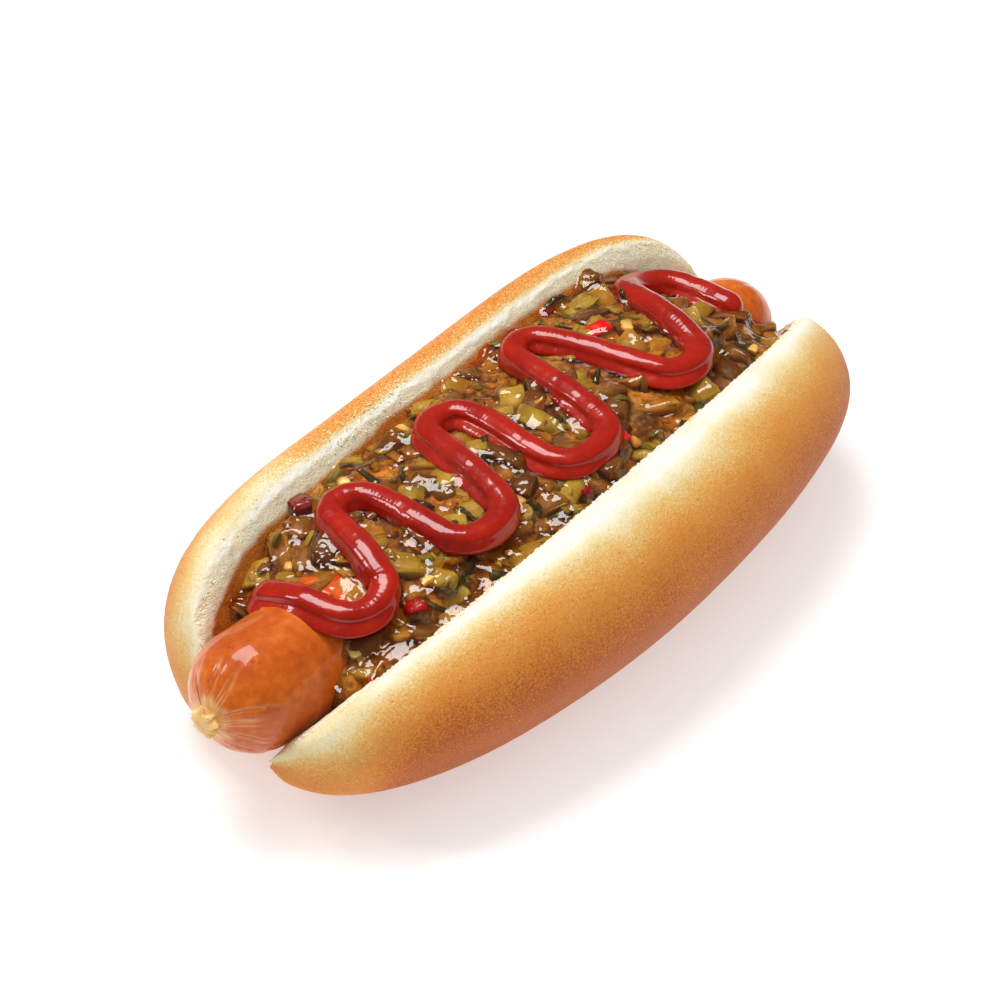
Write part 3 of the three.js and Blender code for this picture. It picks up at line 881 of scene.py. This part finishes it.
def relish_bed():
    """The heap's own core, with relief for all that is finer than the diced pieces."""
    x, y = heap_grid(BED_STEP, HEAP_START_X, HEAP_END_X)
    flat = np.stack([x.ravel(), y.ravel(), 0 * x.ravel()], 1)
    relief = 0.8 * rough_noise(flat, 4.2, 3, 51) + 0.25 * rough_noise(flat, 1.2, 2, 52)
    z = heap_top(x, y) - 0.7 + relief.reshape(x.shape)
    ends = np.minimum(x - HEAP_START_X, HEAP_END_X - x)
    edge = clamp01(ends / 5)
    z = HEAP_FLOOR_Z + (z - HEAP_FLOOR_Z) * np.sqrt(clamp01(1 - (1 - edge) ** 2))
    top = np.stack([x, y, z], 2)
    low = top.copy()
    low[..., 2] = HEAP_FLOOR_Z - 1
    rows, columns = x.shape
    points = np.concatenate([top.reshape(-1, 3), low.reshape(-1, 3)])
    i, k = np.meshgrid(np.arange(rows - 1), np.arange(columns - 1), indexing="ij")
    a = (i * columns + k).ravel()
    upper = np.stack([a, a + columns, a + columns + 1, a + 1], 1)
    under = upper[:, ::-1] + rows * columns
    rim = np.concatenate([
        np.arange(columns), np.arange(1, rows) * columns + columns - 1,
        (rows - 1) * columns + np.arange(columns - 1)[::-1], np.arange(1, rows - 1)[::-1] * columns,
    ])
    after = np.roll(rim, -1)
    sides = np.stack([rim, after, after + rows * columns, rim + rows * columns], 1)
    piece = make_piece("relish_bed", points, np.concatenate([upper, under, sides]), jelly_bed_material())
    outward(piece)
    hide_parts("relish")
    return piece


def chopped_form(random):
    """A small block with flat cut faces and soft edges, about two units across: points and faces."""
    shape = bmesh.new()
    for corner in np.ndindex(2, 2, 2):
        shape.verts.new((np.array(corner) * 2 - 1) * random.uniform(0.62, 1, 3))
    for _ in range(6):
        spot = random.normal(size=3)
        shape.verts.new(spot / np.abs(spot).max() * random.uniform(0.8, 1))
    bmesh.ops.convex_hull(shape, input=shape.verts)
    bmesh.ops.delete(shape, geom=[v for v in shape.verts if not v.link_faces], context="VERTS")
    bmesh.ops.dissolve_limit(shape, angle_limit=0.2, verts=shape.verts, edges=shape.edges)
    bmesh.ops.bevel(shape, geom=shape.edges, offset=0.14, segments=2, affect="EDGES", clamp_overlap=True)
    bmesh.ops.triangulate(shape, faces=shape.faces)
    bmesh.ops.subdivide_edges(shape, edges=shape.edges, cuts=1, use_grid_fill=True)
    bmesh.ops.triangulate(shape, faces=shape.faces)
    shape.verts.ensure_lookup_table()
    points = np.clip(np.array([v.co for v in shape.verts]), -1.1, 1.1)
    seed = int(random.integers(1000))
    swell = 0.2 * soft_noise(points, 0.9, seed) + 0.07 * soft_noise(points, 0.35, seed + 1)
    points = points * (1 + swell)[:, None]
    faces = np.array([[v.index for v in f.verts] for f in shape.faces])
    shape.free()

    # The hull comes in an order of its own each run, so points and faces are put in a fixed one.
    order = np.lexsort(points.round(5).T)
    faces = np.argsort(order)[faces]
    first = faces.argmin(axis=1)
    faces = np.stack([faces[np.arange(len(faces)), (first + k) % 3] for k in range(3)], 1)
    return points[order], faces[np.lexsort(faces.T)]


def turned(points, angles):
    about_x, about_y, about_z = (Matrix.Rotation(angle, 3, axis) for angle, axis in zip(angles, "XYZ"))
    return points @ np.array(about_z @ about_y @ about_x).T


def scatter(name, count, seed, sizes, lifts, spacing, material, tilt, bend=0.12, seen=()):
    """Pieces of one kind over the heap, joined in one mesh, each with its own form, turn and tone.

    sizes are the ranges of length, width and thickness. The first pieces lie at the spots in seen.
    """
    random = np.random.default_rng(seed)
    forms = [chopped_form(random) for _ in range(CHOPPED_FORMS)]
    points, faces, tones, spots = [], [], [], []
    total = tries = 0
    while len(spots) < count and tries < count * 40:
        tries += 1
        x = random.uniform(HEAP_START_X + 3, HEAP_END_X - 2)
        side = 1 if random.random() < 0.5 else -1
        reach = lip(x, side)[0]
        y = side * random.uniform(0, reach + 0.6)
        form, form_faces = forms[random.integers(len(forms))]
        size = [random.uniform(*pair) for pair in sizes]
        angles = (
            tilt * random.uniform(-1, 1),
            tilt * random.uniform(-1, 1),
            random.uniform(0, 2 * np.pi),
        )
        lift = random.uniform(*lifts) + 0.9 * float(smoothstep(abs(y), reach - 4, reach))
        tone = random.random()
        if len(spots) < len(seen):
            x, y, tone = seen[len(spots)]
            size = [pair[1] for pair in sizes]
            lift = lifts[1]
        elif any((x - px) ** 2 + (y - py) ** 2 < spacing**2 for px, py in spots):
            continue
        spots.append((x, y))
        form = form * (np.array(size) / 2)
        form[:, 2] += bend * size[0] * np.cos(form[:, 0] / size[0] * 2.4 + tone * 6)
        form = turned(form, angles)
        z = float(max(heap_top(x, y), sausage_top(x, y) - 1)) + lift
        faces.append(form_faces + total)
        points.append(form + (x, y, z))
        tones.append(np.full(len(form), tone))
        total += len(form)
    piece = make_piece(
        name, np.concatenate(points), np.concatenate(faces), material, {"tone": np.concatenate(tones)},
    )
    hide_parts("relish")
    return piece


def pickle_pieces():
    flesh = diced_material("pickle flesh", [
        (0.0, colour(92, 54, 14)), (0.3, colour(136, 88, 26)), (0.55, colour(164, 114, 34)),
        (0.8, colour(146, 118, 38)), (1.0, colour(166, 142, 58)),
    ])
    skin = diced_material("pickle skin", [
        (0.0, colour(44, 36, 10)), (0.5, colour(72, 66, 18)), (1.0, colour(104, 104, 34)),
    ])
    pepper = diced_material("red pepper", [
        (0.0, colour(110, 8, 14)), (0.5, colour(168, 12, 12)), (1.0, colour(216, 24, 10)),
    ])
    seed = diced_material("onion and seed", [
        (0.0, colour(196, 140, 66)), (1.0, colour(240, 206, 138)),
    ])
    return [
        scatter(
            "diced_pickle", 180, 61, ((5.5, 11), (3.8, 6.4), (1.8, 3.2)), (-1.7, -0.3), 3.8,
            flesh, 0.35, seen=PICKLE_SPOTS,
        ),
        scatter(
            "pickle_bits", 120, 65, ((2, 4.6), (1.2, 2.4), (0.7, 1.4)), (-0.7, 0.2), 3.0,
            flesh, 0.9,
        ),
        scatter(
            "pickle_skins", 112, 62, ((3.4, 8), (1.2, 2.8), (0.5, 0.8)), (-0.8, 0.3), 3.8,
            skin, 0.9, 0.2,
        ),
        scatter(
            "red_pepper", 12, 63, ((3, 6), (2.4, 4), (0.9, 1.6)), (-0.1, 0.6), 14,
            pepper, 0.4, seen=PEPPER_SPOTS,
        ),
        scatter(
            "onion_bits", 12, 64, ((2.6, 4.2), (1.8, 2.6), (1.2, 1.8)), (0, 0.6), 14,
            seed, 0.4, seen=SEED_SPOTS,
        ),
    ]


def heights_from_above(pieces, x, y):
    """The highest point of the pieces above each grid point, and where there is none."""
    found = np.full(x.shape, -1.0)
    for piece in pieces:
        points = np.empty(len(piece.data.vertices) * 3)
        piece.data.vertices.foreach_get("co", points)
        points = points.reshape(-1, 3) / MM - DRAWING_SHIFT
        tree = BVHTree.FromPolygons(points.tolist(), [list(f.vertices) for f in piece.data.polygons])
        for i, k in np.ndindex(x.shape):
            hit = tree.ray_cast(Vector((x[i, k], y[i, k], 60)), Vector((0, 0, -1)))[0]
            if hit:
                found[i, k] = max(found[i, k], hit.z)
    return found


def spread(values, reach, pick):
    """The largest or smallest value within reach cells of each cell."""
    padded = np.pad(values, reach, mode="edge")
    total = values
    for i, k in np.ndindex(2 * reach + 1, 2 * reach + 1):
        if (i - reach) ** 2 + (k - reach) ** 2 <= reach**2:
            total = pick(total, padded[i : i + values.shape[0], k : k + values.shape[1]])
    return total


def blurred(values, rounds):
    """Values evened out with their neighbours, as often as rounds says."""
    for _ in range(rounds):
        padded = np.pad(values, 1, mode="edge")
        beside = padded[:-2, 1:-1] + padded[2:, 1:-1] + padded[1:-1, :-2] + padded[1:-1, 2:]
        values = (beside + 4 * values) / 8
    return values


def glaze(pieces, line):
    """Clear syrup that fills the hollows between the pieces and wets their tops."""
    x, y = heap_grid(GLAZE_STEP, HEAP_START_X - 1, HEAP_END_X + 1)
    raw = heights_from_above(pieces, x, y)
    filled = spread(spread(raw, GLAZE_CLOSING, np.maximum), GLAZE_CLOSING, np.minimum)
    flat = np.stack([x.ravel(), y.ravel(), 0 * x.ravel()], 1)
    waves = (0.26 * rough_noise(flat, 3.0, 2, 71) + 0.11 * rough_noise(flat, 1.1, 2, 74)).reshape(x.shape)
    level = np.maximum(blurred(filled, 5), blurred(raw, 2)) + GLAZE_OVER + waves
    there = raw > 0
    points = np.stack([x, y, level], 2).reshape(-1, 3)
    rows, columns = x.shape
    i, k = np.meshgrid(np.arange(rows - 1), np.arange(columns - 1), indexing="ij")
    a = (i * columns + k).ravel()
    faces = np.stack([a, a + columns, a + columns + 1, a + 1], 1)
    faces = faces[there.ravel()[faces].all(axis=1)]
    depth = clamp01((level - raw) / 2.6).ravel()
    gap = np.min(np.linalg.norm(points[:, None, :2] - line[None, ::4, :2], axis=2), axis=1)
    stain = clamp01(1.1 - (gap - 2.4) / 2.2 + 0.5 * rough_noise(points, 3, 2, 73)) * 0.75
    order = np.unique(faces)
    renumber = np.zeros(len(points), int)
    renumber[order] = np.arange(len(order))
    piece = make_piece(
        "relish_glaze", points[order], renumber[faces], glaze_material(),
        {"depth": depth[order], "stain": stain[order]},
    )
    piece.visible_shadow = False
    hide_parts("relish")
    return piece


# Ketchup

def ketchup_line(count):
    """The middle of the rope: its turns from above, and its height over whatever it lies on."""
    flat = [KETCHUP_START]
    for x, y, half_width in KETCHUP_TURNS:
        side = y - math.copysign(KETCHUP_TURN_DEPTH, y)
        for i in range(KETCHUP_TURN_POINTS + 1):
            angle = math.pi * i / KETCHUP_TURN_POINTS
            flat.append((x - half_width * math.cos(angle), side + (y - side) * math.sin(angle)))
    flat.append(KETCHUP_END)
    line = curve_through(flat, count)
    x, y = line.T
    height = np.maximum(heap_top(x, y), sausage_top(x, y)) + KETCHUP_LIFT
    window = max(count // 18, 3)
    padded = np.pad(height, window // 2, mode="edge")
    settled = np.convolve(padded, np.ones(window) / window, mode="valid")[:count]
    return np.column_stack([line, settled])


def ketchup(line):
    """The rope of sauce swept along its line, thicker at its start."""
    sides = KETCHUP_SIDES
    forward = np.gradient(line, axis=0)
    forward[:, 2] = 0
    forward /= np.linalg.norm(forward, axis=1, keepdims=True)
    sideways = np.stack([-forward[:, 1], forward[:, 0], 0 * forward[:, 0]], 1)
    step = np.linalg.norm(np.diff(line, axis=0), axis=1).mean()
    along = np.arange(len(line)) * step
    from_end = np.minimum(along, along[::-1])
    size = np.sqrt(clamp01(1 - (1 - clamp01((from_end + 0.05) / 3.4)) ** 2))
    size = size * (1 + 0.07 * rough_noise(np.stack([along, 0 * along, 0 * along], 1), 7, 2, 81))
    size = size * (1 + 0.16 * np.exp(-((along / 8) ** 2)))
    angle = 2 * np.pi * (np.arange(sides) + 0.5) / sides
    across, upward = np.cos(angle), np.sin(angle)
    foot = np.exp(-(((upward + 0.45) / 0.28) ** 2))
    half_width = KETCHUP_HALF_WIDTH * (np.abs(across) ** 0.92 * np.sign(across)) * (1 + 0.1 * foot)
    half_height = KETCHUP_HALF_HEIGHT * upward
    points = (
        line[:, None]
        + sideways[:, None] * (size[:, None] * half_width)[..., None]
        + np.array([0, 0, 1.0]) * (size[:, None] * half_height)[..., None]
    )
    rings = points.shape[0]
    points = points.reshape(-1, 3)
    faces = ring_faces(rings, sides)
    normals = vertex_normals(points, faces)
    lengthwise = np.repeat(along, sides)
    round_it = np.tile(angle, rings)
    cast = np.stack([lengthwise, 2.6 * round_it, 0 * round_it], 1)
    beads = 0.018 * np.sin(lengthwise * 2 * np.pi / 0.9 + 2 * soft_noise(cast, 4, 85))
    beads = beads * (soft_noise(cast, 9, 86) > -0.2)
    lumps = 0.16 * rough_noise(points, 3.4, 3, 87)

    # A skirt on the side towards the near end, where the sauce has slumped, with a crease above it.
    out = normals[:, :2] / np.maximum(np.linalg.norm(normals[:, :2], axis=1, keepdims=True), 1e-6)
    facing = clamp01(out @ np.array(SLUMP_TOWARDS))
    rise = np.sin(round_it)
    slump = smoothstep(soft_noise(np.stack([lengthwise, 0 * round_it, 0 * round_it], 1), 15, 88), -0.5, 0.3)
    skirt = 1.5 * facing * slump * np.exp(-(((rise + 0.35) / 0.42) ** 2))
    crease = -0.42 * facing * slump * np.exp(-(((rise - 0.32) / 0.2) ** 2))
    points = points + normals * ((beads + lumps + crease) * np.repeat(size, sides))[:, None]
    points[:, :2] += out * (skirt * np.repeat(size, sides))[:, None]
    last = (rings - 1) * sides
    caps = [list(range(sides))[::-1], list(range(last, last + sides))]
    piece = make_piece("ketchup_rope", points, faces, ketchup_material(), None, caps)
    outward(piece)
    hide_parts("ketchup")
    return piece


# Stage

def floor():
    mesh = bpy.data.meshes.new("floor")
    half = FLOOR_HALF
    corners = [(-half, -half, 0), (half, -half, 0), (half, half, 0), (-half, half, 0)]
    mesh.from_pydata(corners, [], [(0, 1, 2, 3)])
    mesh.materials.append(floor_material())
    made = bpy.data.objects.new("floor", mesh)
    bpy.context.scene.collection.objects.link(made)


def softbox(name, place_at, size, power):
    """A rectangular light that faces the hot dog. Its place and size are in metres, its power in watts."""
    light = bpy.data.lights.new(name, "AREA")
    light.shape = "RECTANGLE"
    light.size, light.size_y = size
    light.energy = power
    made = bpy.data.objects.new(name, light)
    made.location = place_at
    made.rotation_mode = "QUATERNION"
    made.rotation_quaternion = (Vector(LIGHT_AIM) - Vector(place_at)).to_track_quat("-Z", "Y")
    bpy.context.scene.collection.objects.link(made)
    return made


def lights():
    world = bpy.data.worlds.new("studio")
    world.use_nodes = True
    background = world.node_tree.nodes["Background"]
    background.inputs["Color"].default_value = (1, 1, 1, 1)
    background.inputs["Strength"].default_value = 0.12
    bpy.context.scene.world = world
    softbox("top light", (0.05, 0.25, 0.75), (0.5, 0.35), 4.8)
    softbox("window light", (-0.42, 0.5, 0.55), (0.12, 0.26), 1.2)
    around = softbox("overhead", (-0.15, -0.45, 1.22), (1.8, 1.8), 10.5)
    around.visible_glossy = False
    bpy.context.scene.view_settings.view_transform = "Standard"


bun()
sausage()
bed = relish_bed()
diced = pickle_pieces()
rope_line = ketchup_line(KETCHUP_STATIONS)
glaze([bed, *diced], rope_line)
ketchup(rope_line)
floor()
lights()
